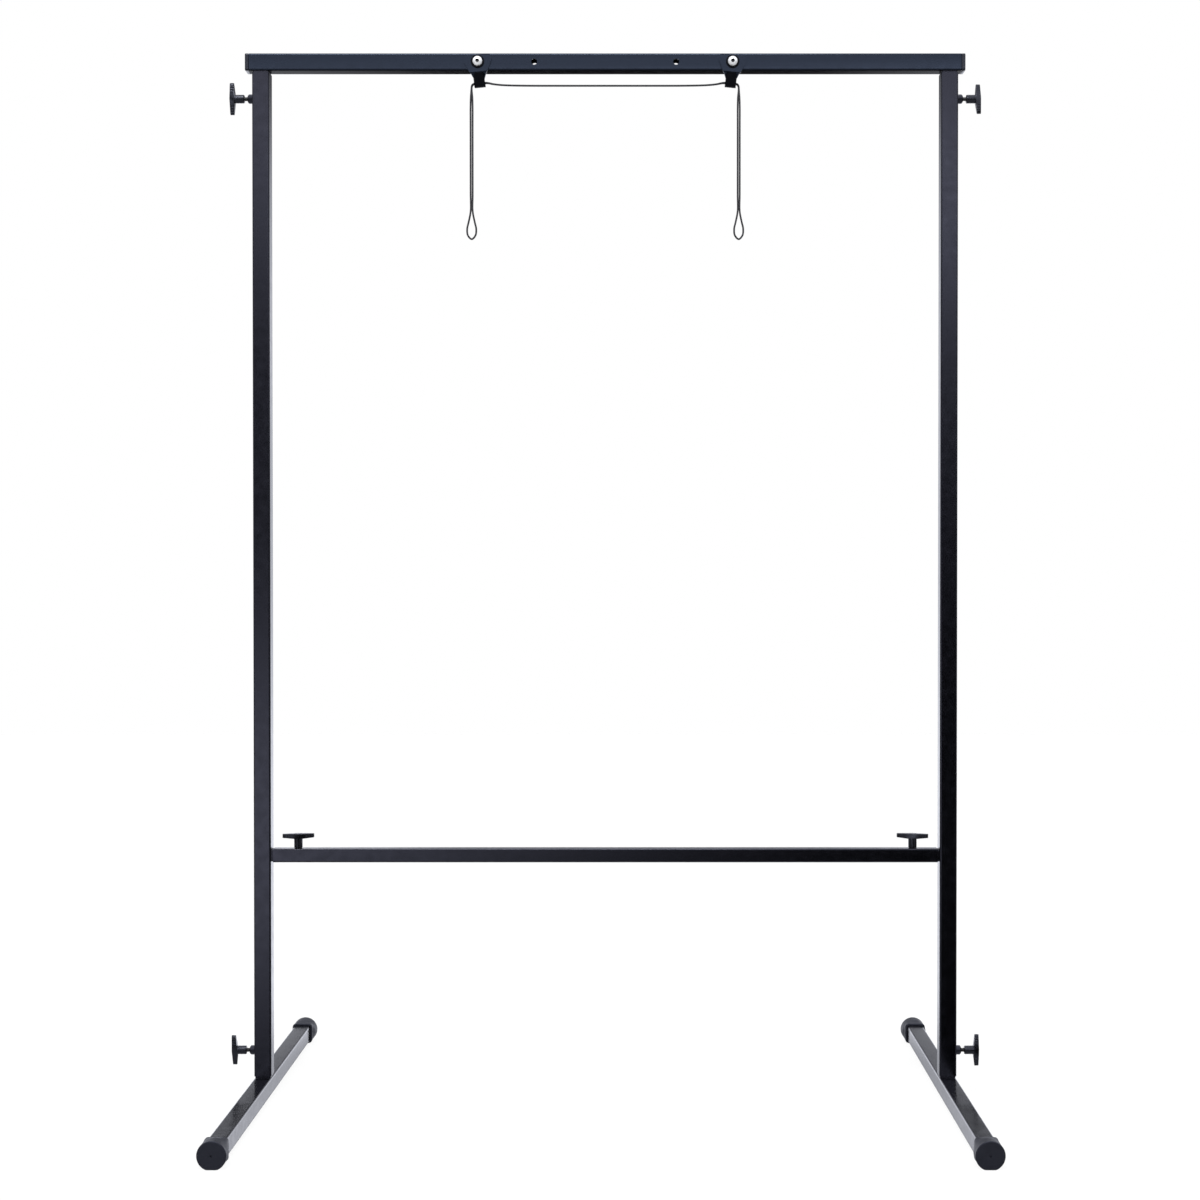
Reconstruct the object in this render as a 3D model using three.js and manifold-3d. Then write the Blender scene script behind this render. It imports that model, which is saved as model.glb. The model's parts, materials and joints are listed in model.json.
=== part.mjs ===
// Gong stand: a knock-down frame of square steel tube. Two posts joined by a lower bar, a top bar
// and two feet that plug into the posts, six clamp knobs, two hook brackets and the doubled cord
// that hangs in them. Millimetres, +Z up, +X to the right, +Y to the rear.
// The origin is on the floor, midway between the posts.

import * as THREE from "three";
import { mergeVertices } from "three/addons/utils/BufferGeometryUtils.js";
import Module from "manifold-3d";

const wasm = await Module();
wasm.setup();

// Overall sizes
const postSpacing = 995;
const standHeight = 1514;
const footLength = 734;
const lowerBarHeight = 353.6;
const barOverhang = 10.2;

// Square tubes: outside, wall and outer corner radius
const mainTube = 25;
const mainWall = 1.5;
const mainCorner = 2.5;
const tightCornerShare = 0.33;
const lowTube = 20;
const lowWall = 1.5;
const lowCorner = 2;

// Spigots inside the posts and stubs inside the lower bar
const slideClearance = 0.5;
const innerWall = 1.5;
const innerCorner = 1.4;
const spigotReach = 60;
const stubReach = 58;
const beadHeight = 2;
const beadStandOut = 0.9;
const beadChamfer = 0.6;

// Gaps between pieces that touch
const seatGap = 0.25;
const boreGap = 0.3;
const cutOverrun = 3;

// Rubber foot caps
const capRadius = 19.4;
const capFlat = 1.7;
const capLength = 34;
const capEndWall = 5;
const capNose = 1.4;
const capTaper = 0.3;
const capCollarHalf = 15.8;
const capCollarCorner = 5.5;
const capCollarEdge = 0.8;
const capFlareLength = 17;
const capDimpleRadius = 1.6;
const capDimpleDepth = 1.6;

// End plugs of the top bar
const plugFlange = 5.5;
const plugBevel = 1;
const plugDepth = 14;
const plugCoreInset = 2.4;
const plugRibCount = 3;
const plugRibWidth = 1.6;

// Clamp screws, their bosses and wing knobs
const clampInset = 36;
const barClampInset = 35.5;
const screwRadius = 3;
const screwChamfer = 0.7;
const bossRadius = 6.8;
const bossHeight = 7.8;
const bossChamfer = 1.8;
const bossWeld = 1.2;
const screwShown = 5.2;
const stemRadius = 6.2;
const stemLength = 12.7;
const stemChamfer = 0.8;
const knobReach = 22.9;
const knobHeadThickness = 8.2;
const knobRootWidth = 12.8;
const knobTipWidth = 6.8;
const knobTipThickness = 5.9;
const knobTipDrop = 0.3;
const knobEdgeRound = 1;
const knobFluteRadius = 1.2;
const knobFluteDepth = 0.5;
const knobFluteInset = 4;
const knobFlutePitch = 3.6;
const knobDiscRadius = 4.2;
const knobDiscGroove = 0.8;
const knobDiscDepth = 0.7;
const knobTurns = {
  left_upper: -5,
  right_upper: -13,
  left_lower: -13,
  right_lower: 0,
  left_bar: 10,
  right_bar: -13,
};
const screwInKnob = 16;
const screwPastNut = 1.5;
const nutSide = 10;
const nutHeight = 5;

// Hook brackets
const hookSpacing = 368;
const spareHoleSpacing = 205;
const boltHoleRadius = 4.3;
const bracketTilt = 5.5;
const stripThickness = 2;
const plateWidth = 41.6;
const plateTopWidth = 37;
const plateMargin = 2.8;
const plateShoulder = 1.5;
const plateCorner = 2;
const foldDrop = 2;
const foldWidth = 26;
const foldRadius = 4;
const foldAngle = 25;
const neckDrop = 3.5;
const neckWidth = 21.4;
const hookWidth = 14;
const hookDepth = 24.6;
const troughRadius = 3.75;
const troughFlat = 3;
const lipLean = 20;
const lipGap = 4.8;
const sleeveGap = 0.2;
const sleeveWall = 0.7;

// Hook bolts, washers and nuts
const boltRadius = 4;
const boltHeadRadius = 7;
const boltHeadHeight = 4.4;
const boltRimShare = 0.2;
const socketAcrossFlats = 5;
const socketDepth = 2.6;
const washerRadius = 9.7;
const washerThickness = 1.6;
const washerEdgeShare = 0.25;
const hookNutAcrossFlats = 13;
const hookNutHeight = 6.5;
const hookNutChamfer = 0.8;
const boltPastNut = 2.5;

// Hanging cord
const cordDiameter = 2.7;
const cordStrandPitch = 3;
const cordSides = 8;

// Facets: steps in a quarter of a tube corner, and sides of the round pieces
const cornerSteps = 2;
const capSides = 48;
const flareSteps = 5;
const noseSteps = 3;
const roundSides = 24;
const screwSides = 16;
const tipSteps = 3;
const fluteSides = 12;
const bendStep = 15;
const mitreLimit = 0.5;
const mergeTolerance = 0.0001;

// Places that follow from the sizes above
const degree = Math.PI / 180;
const quarterTurn = Math.PI / 2;
const mainHalf = mainTube / 2;
const lowHalf = lowTube / 2;
const spigotSide = mainTube - 2 * mainWall - 2 * slideClearance;
const stubSide = lowTube - 2 * lowWall - 2 * slideClearance;
const postX = postSpacing / 2;
const postInnerX = postX - mainHalf;
const postOuterX = postX + mainHalf;
const footAxisZ = capRadius - capFlat;
const footTopZ = footAxisZ + mainHalf;
const topAxisZ = standHeight - mainHalf;
const topUnderZ = standHeight - mainTube;
const postBottomZ = footTopZ + beadHeight + 2 * seatGap;
const postTopZ = topUnderZ - beadHeight - 2 * seatGap;
const postLength = postTopZ - postBottomZ;
const lowerBarHalf = postInnerX - beadHeight - 2 * seatGap;
const barKnobX = lowerBarHalf - barClampInset;
const topBarHalf = postOuterX + barOverhang - plugFlange - seatGap;
const footTubeLength = footLength - 2 * (capEndWall + seatGap);
const screwHoleRadius = screwRadius + boreGap;

const group = new THREE.Group();

// Finishes
const powderCoat = { color: 0x23272c, roughness: 0.42, metalness: 0.25 };
const rubber = { color: 0x1b1b1d, roughness: 0.7, metalness: 0 };
const plastic = { color: 0x141416, roughness: 0.5, metalness: 0 };
const blackSteel = { color: 0x1d1e20, roughness: 0.4, metalness: 0.7 };
const brightSteel = { color: 0xc9cbcd, roughness: 0.25, metalness: 1 };
const cordFibre = { color: 0x3a3b40, roughness: 0.85, metalness: 0 };

function addMesh(parent, name, geometry, finish) {
  const mesh = new THREE.Mesh(geometry, new THREE.MeshStandardMaterial(finish));
  mesh.name = name;
  parent.add(mesh);
  return mesh;
}

function addGroup(x, y, z) {
  const placed = new THREE.Group();
  placed.position.set(x, y, z);
  group.add(placed);
  return placed;
}

// Solids for cutting and joining
function solidOf(geometry) {
  const bare = geometry.clone();
  bare.deleteAttribute("normal");
  bare.deleteAttribute("uv");
  const merged = mergeVertices(bare, mergeTolerance);
  const index = merged.index.array;
  const kept = [];
  for (let i = 0; i < index.length; i += 3) {
    const [a, b, c] = [index[i], index[i + 1], index[i + 2]];
    if (a !== b && b !== c && c !== a) {
      kept.push(a, b, c);
    }
  }
  const vertProperties = new Float32Array(merged.attributes.position.array);
  const triVerts = new Uint32Array(kept);
  return new wasm.Manifold(new wasm.Mesh({ numProp: 3, vertProperties, triVerts }));
}

function geometryOf(solid) {
  const mesh = solid.getMesh();
  const geometry = new THREE.BufferGeometry();
  geometry.setAttribute("position", new THREE.BufferAttribute(new Float32Array(mesh.vertProperties), 3));
  geometry.setIndex(new THREE.BufferAttribute(new Uint32Array(mesh.triVerts), 1));
  geometry.computeVertexNormals();
  return geometry;
}

// Closed section outlines
function roundedSquarePath(side, corner, Kind) {
  const path = new Kind();
  const flat = side / 2 - corner;
  path.absarc(flat, flat, corner, 0, quarterTurn, false);
  path.absarc(-flat, flat, corner, quarterTurn, 2 * quarterTurn, false);
  path.absarc(-flat, -flat, corner, 2 * quarterTurn, 3 * quarterTurn, false);
  path.absarc(flat, -flat, corner, 3 * quarterTurn, 4 * quarterTurn, false);
  path.closePath();
  return path;
}

function extrude(shape, depth, more = {}) {
  const settings = { depth, steps: 1, bevelEnabled: false, curveSegments: cornerSteps, ...more };
  return new THREE.ExtrudeGeometry(shape, settings);
}

// A square tube that starts at the origin and runs along +Z
function squareTube(side, wall, corner, length) {
  const shape = roundedSquarePath(side, corner, THREE.Shape);
  const innerCornerRadius = Math.max(corner - wall, corner * tightCornerShare);
  shape.holes.push(roundedSquarePath(side - 2 * wall, innerCornerRadius, THREE.Path));
  return extrude(shape, length);
}

function squareBar(side, corner, length) {
  return extrude(roundedSquarePath(side, corner, THREE.Shape), length);
}

// A turned piece about +Z from (radius, height) points that start and end on the axis
function turned(points, sides) {
  return new THREE.LatheGeometry(points.map(([r, z]) => new THREE.Vector2(r, z)), sides)
    .rotateX(quarterTurn);
}

// A closed solid through rings of points round +Z, all with the same count
function loft(rings) {
  const count = rings[0].length;
  const top = (rings.length - 1) * count;
  const index = [];
  for (let low = 0; low < top; low += count) {
    for (let k = 0; k < count; k += 1) {
      const here = low + k;
      const next = low + ((k + 1) % count);
      index.push(here, next, next + count, here, next + count, here + count);
    }
  }
  for (let k = 1; k + 1 < count; k += 1) {
    index.push(0, k + 1, k, top, top + k, top + k + 1);
  }
  const geometry = new THREE.BufferGeometry();
  geometry.setAttribute("position", new THREE.Float32BufferAttribute(rings.flat(2), 3));
  geometry.setIndex(index);
  return geometry;
}

// A round rod along +Z between two heights
function rod(radius, low, high, sides) {
  return turned([[0, low], [radius, low], [radius, high], [0, high]], sides);
}

// A hexagonal rod along +Z between two heights
function hexRod(acrossFlats, low, high) {
  const shape = new THREE.Shape();
  const radius = acrossFlats / 2 / Math.cos(Math.PI / 6);
  for (let k = 0; k < 6; k += 1) {
    const angle = (k * Math.PI) / 3;
    const [x, y] = [radius * Math.cos(angle), radius * Math.sin(angle)];
    if (k === 0) {
      shape.moveTo(x, y);
    } else {
      shape.lineTo(x, y);
    }
  }
  shape.closePath();
  return extrude(shape, high - low).translate(0, 0, low);
}

// Points of a bent sheet strip's centre line, as [along, up] pairs.
// A move is { run } for a straight, or { radius, turn } for a bend in degrees, left positive.
function bentLine(start, headingDegrees, moves) {
  const points = [new THREE.Vector2(...start)];
  let heading = headingDegrees * degree;
  for (const move of moves) {
    const from = points[points.length - 1];
    if (move.run !== undefined) {
      points.push(new THREE.Vector2(
        from.x + move.run * Math.cos(heading),
        from.y + move.run * Math.sin(heading),
      ));
    } else {
      const side = Math.sign(move.turn);
      const centre = new THREE.Vector2(
        from.x - side * move.radius * Math.sin(heading),
        from.y + side * move.radius * Math.cos(heading),
      );
      const steps = Math.max(2, Math.round(Math.abs(move.turn) / bendStep));
      for (let k = 1; k <= steps; k += 1) {
        const angle = heading + (move.turn * degree * k) / steps;
        points.push(new THREE.Vector2(
          centre.x + side * move.radius * Math.sin(angle),
          centre.y - side * move.radius * Math.cos(angle),
        ));
      }
      heading += move.turn * degree;
    }
  }
  return points;
}

// The closed outline of a strip of the given thickness along a centre line
function ribbonShape(line, thickness) {
  const left = [];
  const right = [];
  line.forEach((point, k) => {
    const before = line[Math.max(k - 1, 0)];
    const after = line[Math.min(k + 1, line.length - 1)];
    const inward = point.clone().sub(before).normalize();
    const outward = after.clone().sub(point).normalize();
    const along = inward.clone().add(outward).normalize();
    const reference = k === 0 ? outward : inward;
    const stretch = 1 / Math.max(along.dot(reference), mitreLimit);
    const normal = new THREE.Vector2(-along.y, along.x).multiplyScalar((thickness / 2) * stretch);
    left.push(point.clone().add(normal));
    right.push(point.clone().sub(normal));
  });
  return new THREE.Shape([...right, ...left.reverse()]);
}

// A strip profile in the Y-Z plane, carried along X and centred on X = 0
function acrossX(shape, width) {
  const turn = new THREE.Matrix4().makeBasis(
    new THREE.Vector3(0, 1, 0),
    new THREE.Vector3(0, 0, 1),
    new THREE.Vector3(1, 0, 0),
  );
  return extrude(shape, width).translate(0, 0, -width / 2).applyMatrix4(turn);
}

// A front-view outline in the X-Z plane, carried along Y on both sides of Y = 0
function acrossY(shape, reach) {
  return extrude(shape, 2 * reach).translate(0, 0, -reach).rotateX(quarterTurn);
}

// An outline through the given corners, each rounded
function roundedOutline(corners, radius) {
  const shape = new THREE.Shape();
  corners.forEach((corner, k) => {
    const before = corners[(k + corners.length - 1) % corners.length];
    const after = corners[(k + 1) % corners.length];
    const toBefore = before.clone().sub(corner);
    const toAfter = after.clone().sub(corner);
    const cut = Math.min(radius, toBefore.length() / 3, toAfter.length() / 3);
    const enter = corner.clone().add(toBefore.setLength(cut));
    const leave = corner.clone().add(toAfter.setLength(cut));
    if (k === 0) {
      shape.moveTo(enter.x, enter.y);
    } else {
      shape.lineTo(enter.x, enter.y);
    }
    shape.quadraticCurveTo(corner.x, corner.y, leave.x, leave.y);
  });
  shape.closePath();
  return shape;
}

// A spigot: a short square tube along +Z on a low weld bead that stops what slides over it
function spigot(side, reach) {
  const beadSide = side + 2 * beadStandOut;
  const bead = squareBar(beadSide, innerCorner + beadStandOut, beadHeight - beadChamfer);
  const crown = squareBar(beadSide - 2 * beadChamfer, innerCorner, beadHeight);
  const tube = squareTube(side, innerWall, innerCorner, beadHeight + reach);
  const bore = squareBar(side - 2 * innerWall, innerCorner * tightCornerShare, beadHeight + reach);
  return solidOf(bead)
    .add(solidOf(crown))
    .subtract(solidOf(bore.translate(0, 0, beadHeight / 2)))
    .add(solidOf(tube));
}

// Posts: tubes with a screw hole through the outer wall near each end
function post(side) {
  const hole = rod(screwHoleRadius, 0, mainTube, screwSides).rotateY(side * quarterTurn);
  const tube = solidOf(squareTube(mainTube, mainWall, mainCorner, postLength));
  const holeHeights = [clampInset, postLength - clampInset];
  const cut = holeHeights.reduce(
    (body, height) => body.subtract(solidOf(hole.clone().translate(0, 0, height))),
    tube,
  );
  return geometryOf(cut);
}

for (const [name, side] of [["left", -1], ["right", 1]]) {
  addMesh(group, `${name}_post`, post(side), powderCoat).position.set(side * postX, 0, postBottomZ);
}

// Lower bar, the stubs it slides over, and the nuts inside the stubs
function lowerBar() {
  const tube = squareTube(lowTube, lowWall, lowCorner, 2 * lowerBarHalf)
    .translate(0, 0, -lowerBarHalf)
    .rotateY(quarterTurn);
  const hole = rod(screwHoleRadius, 0, lowTube, screwSides);
  return geometryOf(
    solidOf(tube)
      .subtract(solidOf(hole.clone().translate(-barKnobX, 0, 0)))
      .subtract(solidOf(hole.clone().translate(barKnobX, 0, 0))),
  );
}

addMesh(group, "lower_bar", lowerBar(), powderCoat).position.set(0, 0, lowerBarHeight);

function barStub(side) {
  const hole = rod(screwHoleRadius, 0, lowTube, screwSides);
  const stub = spigot(stubSide, stubReach).transform(
    new THREE.Matrix4().makeRotationY(-side * quarterTurn).toArray(),
  );
  const inward = postInnerX - seatGap - barKnobX;
  return geometryOf(stub.subtract(solidOf(hole.translate(-side * inward, 0, 0))));
}

function stubNut() {
  const body = squareBar(nutSide, screwChamfer, nutHeight).translate(0, 0, -nutHeight);
  const bore = rod(screwHoleRadius, -nutHeight - cutOverrun, cutOverrun, screwSides);
  return geometryOf(solidOf(body).subtract(solidOf(bore)));
}

for (const [name, side] of [["left", -1], ["right", 1]]) {
  addMesh(group, `${name}_bar_stub`, barStub(side), powderCoat)
    .position.set(side * (postInnerX - seatGap), 0, lowerBarHeight);
  const nutTop = lowerBarHeight + stubSide / 2 - innerWall - seatGap;
  addMesh(group, `${name}_stub_nut`, stubNut(), blackSteel)
    .position.set(side * barKnobX, 0, nutTop);
}

// Top bar with its bolt holes, plugs and spigots
function topBar() {
  const tube = squareTube(mainTube, mainWall, mainCorner, 2 * topBarHalf)
    .translate(0, 0, -topBarHalf)
    .rotateY(quarterTurn);
  const hole = rod(boltHoleRadius, -mainTube, mainTube, roundSides).rotateX(quarterTurn);
  const places = [hookSpacing, -hookSpacing, spareHoleSpacing, -spareHoleSpacing];
  const cut = places.reduce(
    (body, spacing) => body.subtract(solidOf(hole.clone().translate(spacing / 2, 0, 0))),
    solidOf(tube),
  );
  return geometryOf(cut);
}

addMesh(group, "top_bar", topBar(), powderCoat).position.set(0, 0, topAxisZ);

// An end plug along +Z: a flange as wide as the tube, and a ribbed core that goes inside
function endPlug() {
  const faceSide = mainTube - 2 * plugBevel;
  const flangeShape = roundedSquarePath(faceSide, mainCorner - plugBevel, THREE.Shape);
  const bevel = {
    bevelEnabled: true,
    bevelThickness: plugBevel,
    bevelSize: plugBevel,
    bevelSegments: 2,
  };
  const flange = extrude(flangeShape, plugFlange - 2 * plugBevel, bevel).translate(0, 0, plugBevel);
  const inside = mainTube - 2 * mainWall - 2 * seatGap;
  const core = squareBar(inside - 2 * plugCoreInset, mainCorner / 2, plugDepth + plugBevel)
    .translate(0, 0, -plugDepth);
  let plug = solidOf(flange).add(solidOf(core));
  const pitch = plugDepth / (plugRibCount + 1);
  for (let k = 1; k <= plugRibCount; k += 1) {
    const rib = squareBar(inside, mainCorner - mainWall, plugRibWidth);
    plug = plug.add(solidOf(rib.translate(0, 0, -k * pitch - plugRibWidth / 2)));
  }
  return geometryOf(plug);
}

for (const [name, side] of [["left", -1], ["right", 1]]) {
  const hanging = spigot(spigotSide, spigotReach)
    .transform(new THREE.Matrix4().makeRotationX(2 * quarterTurn).toArray());
  addMesh(group, `${name}_top_spigot`, geometryOf(hanging), powderCoat)
    .position.set(side * postX, 0, topUnderZ - seatGap);
  const plug = addMesh(group, `${name}_end_plug`, endPlug(), plastic);
  plug.position.set(side * (topBarHalf + seatGap), 0, topAxisZ);
  plug.rotation.y = side * quarterTurn;
}

// Feet: a tube along Y with a spigot on top and a rubber cap on each end

// Distance from the axis to a rounded square's outline in one direction
function squareReach(angle, half, corner) {
  const sharp = [Math.abs(Math.cos(angle)), Math.abs(Math.sin(angle))];
  const [small, large] = [Math.min(...sharp), Math.max(...sharp)];
  const flat = half - corner;
  if (half * small <= flat * large) {
    return half / large;
  }
  const along = flat * (small + large);
  const across = flat * (large - small);
  return along + Math.sqrt(corner * corner - across * across);
}

// One ring of a cap, between a rounded square collar at roundShare 0 and a circle at 1
function capRing(z, radius, collarHalf, roundShare) {
  const ring = [];
  for (let k = 0; k < capSides; k += 1) {
    const angle = ((k + 1 / 2) * 4 * quarterTurn) / capSides;
    const square = squareReach(angle, collarHalf, capCollarCorner);
    const reach = square + (radius - square) * roundShare;
    ring.push([reach * Math.cos(angle), reach * Math.sin(angle), z]);
  }
  return ring;
}

// A cap about +Z from its mouth: a square collar that flares to a round end
function footCap() {
  const rings = [capRing(0, capRadius, capCollarHalf - capCollarEdge, 0)];
  for (let k = 0; k <= flareSteps; k += 1) {
    const share = k / flareSteps;
    const roundShare = share * share * (3 - 2 * share);
    const z = capCollarEdge + share * (capFlareLength - capCollarEdge);
    rings.push(capRing(z, capRadius - capTaper, capCollarHalf, roundShare));
  }
  for (let k = 0; k <= noseSteps; k += 1) {
    const angle = (k * quarterTurn) / noseSteps;
    const radius = capRadius - capNose * (1 - Math.cos(angle));
    rings.push(capRing(capLength - capNose * (1 - Math.sin(angle)), radius, capCollarHalf, 1));
  }
  const below = 2 * capRadius;
  const floorCut = new THREE.BoxGeometry(below, below, 2 * capLength)
    .translate(0, -below / 2 - footAxisZ, capLength);
  const socket = squareBar(mainTube + 2 * seatGap, mainCorner, capLength - capEndWall + cutOverrun)
    .translate(0, 0, -cutOverrun);
  const dimple = rod(capDimpleRadius, capLength - capDimpleDepth, capLength + cutOverrun, screwSides);
  return solidOf(loft(rings))
    .subtract(solidOf(floorCut))
    .subtract(solidOf(socket))
    .subtract(solidOf(dimple));
}

for (const [name, side] of [["left", -1], ["right", 1]]) {
  const foot = addGroup(side * postX, 0, footAxisZ);
  const tube = squareTube(mainTube, mainWall, mainCorner, footTubeLength)
    .translate(0, 0, -footTubeLength / 2)
    .rotateX(quarterTurn);
  addMesh(foot, `${name}_foot_tube`, tube, powderCoat);
  const standing = geometryOf(spigot(spigotSide, spigotReach));
  addMesh(foot, `${name}_foot_spigot`, standing, powderCoat).position.z = mainHalf + seatGap;
  for (const [end, facing] of [["front", -1], ["rear", 1]]) {
    const upright = footCap().transform(new THREE.Matrix4().makeRotationX(quarterTurn).toArray());
    const turnedRound = facing < 0 ? 0 : 2 * quarterTurn;
    const cap = upright.transform(new THREE.Matrix4().makeRotationZ(turnedRound).toArray());
    addMesh(foot, `${name}_${end}_cap`, geometryOf(cap), rubber)
      .position.y = facing * (footLength / 2 - capLength);
  }
}

// Clamps, each modelled outward along +Z from the face of its tube
function weldBoss() {
  return new THREE.LatheGeometry([
    [screwHoleRadius, seatGap],
    [bossRadius + bossWeld, seatGap],
    [bossRadius, seatGap + bossWeld],
    [bossRadius, bossHeight - bossChamfer],
    [bossRadius - bossChamfer, bossHeight],
    [screwHoleRadius, bossHeight],
    [screwHoleRadius, seatGap],
  ].map(([r, z]) => new THREE.Vector2(r, z)), roundSides).rotateX(quarterTurn);
}

function clampScrew(tipZ, knobBase) {
  return turned([
    [0, tipZ],
    [screwRadius - screwChamfer, tipZ],
    [screwRadius, tipZ + screwChamfer],
    [screwRadius, knobBase + screwInKnob],
    [0, knobBase + screwInKnob],
  ], screwSides);
}

// One ring of points round a wing: an upright rounded rectangle at a distance along X
function wingRing(x, half, low, high) {
  const ring = [];
  for (let quarter = 0; quarter < 4; quarter += 1) {
    const y = (quarter === 0 || quarter === 3 ? 1 : -1) * (half - knobEdgeRound);
    const z = quarter < 2 ? high - knobEdgeRound : low + knobEdgeRound;
    for (let k = 0; k <= cornerSteps; k += 1) {
      const angle = (quarter + k / cornerSteps) * quarterTurn;
      ring.push([x, y + knobEdgeRound * Math.cos(angle), z + knobEdgeRound * Math.sin(angle)]);
    }
  }
  return ring;
}

// A wing knob: two wings that taper from the middle to rounded tips, on a round stem
function wingKnob() {
  const top = stemLength + knobHeadThickness;
  const tipTop = top - knobTipDrop;
  const tipHalf = knobTipWidth / 2;
  const tipTurn = Math.acos(knobEdgeRound / tipHalf);
  const points = wingRing(0, knobRootWidth / 2, stemLength, top);
  for (const side of [-1, 1]) {
    for (let k = 0; k < tipSteps; k += 1) {
      const angle = (k * tipTurn) / (tipSteps - 1);
      const x = side * (knobReach - tipHalf * (1 - Math.sin(angle)));
      points.push(...wingRing(x, tipHalf * Math.cos(angle), tipTop - knobTipThickness, tipTop));
    }
  }
  let knob = wasm.Manifold.hull(points);
  const slope = (knobRootWidth - knobTipWidth) / 2 / (knobReach - tipHalf);
  const flute = rod(knobFluteRadius, 0, top + cutOverrun, fluteSides);
  for (let k = 0; k < 3; k += 1) {
    const x = knobReach - knobFluteInset - k * knobFlutePitch;
    const y = knobRootWidth / 2 - slope * x + knobFluteRadius - knobFluteDepth;
    for (const [sideX, sideY] of [[1, 1], [1, -1], [-1, 1], [-1, -1]]) {
      knob = knob.subtract(solidOf(flute.clone().translate(sideX * x, sideY * y, 0)));
    }
  }
  const stem = turned([
    [0, 0],
    [stemRadius - stemChamfer, 0],
    [stemRadius, stemChamfer],
    [stemRadius, stemLength + knobHeadThickness / 2],
    [0, stemLength + knobHeadThickness / 2],
  ], roundSides);
  const groove = new THREE.LatheGeometry([
    [knobDiscRadius, top - knobDiscDepth],
    [knobDiscRadius + knobDiscGroove, top - knobDiscDepth],
    [knobDiscRadius + knobDiscGroove, top + cutOverrun],
    [knobDiscRadius, top + cutOverrun],
    [knobDiscRadius, top - knobDiscDepth],
  ].map(([r, z]) => new THREE.Vector2(r, z)), roundSides).rotateX(quarterTurn);
  const bore = rod(screwHoleRadius, -cutOverrun, screwInKnob + boreGap, screwSides);
  return geometryOf(
    knob
      .add(solidOf(stem))
      .subtract(solidOf(groove))
      .subtract(solidOf(bore)),
  );
}

// Turns a clamp's outward +Z to the side, or leaves it pointing up
function clampGroup(x, z, turnY) {
  const clamp = addGroup(x, 0, z);
  clamp.rotation.y = turnY;
  return clamp;
}

function addKnob(clamp, name, base) {
  const knob = addMesh(clamp, `${name}_knob`, wingKnob(), plastic);
  knob.position.z = base;
  knob.rotation.z = knobTurns[name] * degree;
}

const spigotFaceDepth = mainHalf - spigotSide / 2;
for (const [name, side] of [["left", -1], ["right", 1]]) {
  for (const [level, height] of [["upper", postTopZ - clampInset], ["lower", postBottomZ + clampInset]]) {
    const clamp = clampGroup(side * postOuterX, height, side * quarterTurn);
    const knobBase = bossHeight + screwShown;
    addMesh(clamp, `${name}_${level}_boss`, weldBoss(), powderCoat);
    addMesh(clamp, `${name}_${level}_screw`, clampScrew(boreGap - spigotFaceDepth, knobBase), blackSteel);
    addKnob(clamp, `${name}_${level}`, knobBase);
  }
  const clamp = clampGroup(side * barKnobX, lowerBarHeight + lowHalf, 0);
  const stubFaceDepth = lowHalf - stubSide / 2;
  const tipZ = -(stubFaceDepth + innerWall + seatGap + nutHeight + screwPastNut);
  addMesh(clamp, `${name}_bar_screw`, clampScrew(tipZ, seatGap), blackSteel);
  addKnob(clamp, `${name}_bar`, seatGap);
}

// Hook bracket: one steel strip, flat on the bar's front face, folded under it and bent up
// into a trough. The bolt's axis is at the origin, along Y.
const plateY = -(mainHalf + seatGap + stripThickness / 2);
const foldZ = -(mainHalf + foldDrop);
const troughBottomZ = -(mainHalf + hookDepth) + sleeveGap + sleeveWall + stripThickness / 2;
const lipTopZ = -(mainHalf + lipGap) - sleeveGap - sleeveWall;

// The strip's centre line in the Y-Z plane: down the plate, round the fold and down the neck
const neckHeading = -90 + foldAngle;
const troughTurn = 90 + foldAngle;
const foldEndZ = foldZ - foldRadius * Math.sin(foldAngle * degree);
const troughStartZ = troughBottomZ + troughRadius * (1 - Math.cos(troughTurn * degree));
const neckRun = (foldEndZ - troughStartZ) / Math.cos(foldAngle * degree);
const plateTopZ = mainHalf - plateMargin;
const plateLine = bentLine([plateY, plateTopZ], -90, [
  { run: plateTopZ - foldZ },
  { radius: foldRadius, turn: foldAngle },
  { run: neckRun },
]);

// The rest of it: round the trough and up the leaning lip
const lipStartZ = troughBottomZ + troughRadius * (1 - Math.sin(lipLean * degree));
const lipRun = (lipTopZ - lipStartZ) / Math.cos(lipLean * degree);
const troughStart = plateLine[plateLine.length - 1].toArray();
function troughLine(extraTip) {
  return bentLine(troughStart, neckHeading, [
    { radius: troughRadius, turn: -troughTurn },
    { run: troughFlat },
    { radius: troughRadius, turn: lipLean - 90 },
    { run: lipRun + extraTip },
  ]);
}

// Front view of the plate and neck, mirrored about the bolt
function plateOutline() {
  const rightSide = [
    [plateTopWidth / 2, plateTopZ],
    [plateWidth / 2, plateShoulder],
    [foldWidth / 2, foldZ],
    [neckWidth / 2, foldZ - neckDrop],
    [hookWidth / 2, troughStartZ + troughRadius],
    [hookWidth / 2, troughStartZ - cutOverrun],
  ];
  const corners = [...rightSide, ...rightSide.map(([x, z]) => [-x, z]).reverse()];
  return roundedOutline(corners.map(([x, z]) => new THREE.Vector2(x, z)), plateCorner);
}

// Front view of the trough and its round-ended lip, grown by a margin
function lipOutline(margin) {
  const half = hookWidth / 2 + margin;
  const low = troughBottomZ - stripThickness - cutOverrun;
  const squash = Math.cos(lipLean * degree);
  const shape = new THREE.Shape();
  shape.moveTo(-half, low);
  shape.lineTo(half, low);
  shape.absellipse(0, lipTopZ + margin - half * squash, half, half * squash, 0, 2 * quarterTurn, false);
  shape.closePath();
  return shape;
}

function strip(line, thickness, width, outline) {
  const reach = 2 * mainTube;
  const ribbon = solidOf(acrossX(ribbonShape(line, thickness), width));
  const front = solidOf(acrossY(outline, reach));
  return ribbon.intersect(front);
}

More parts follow.
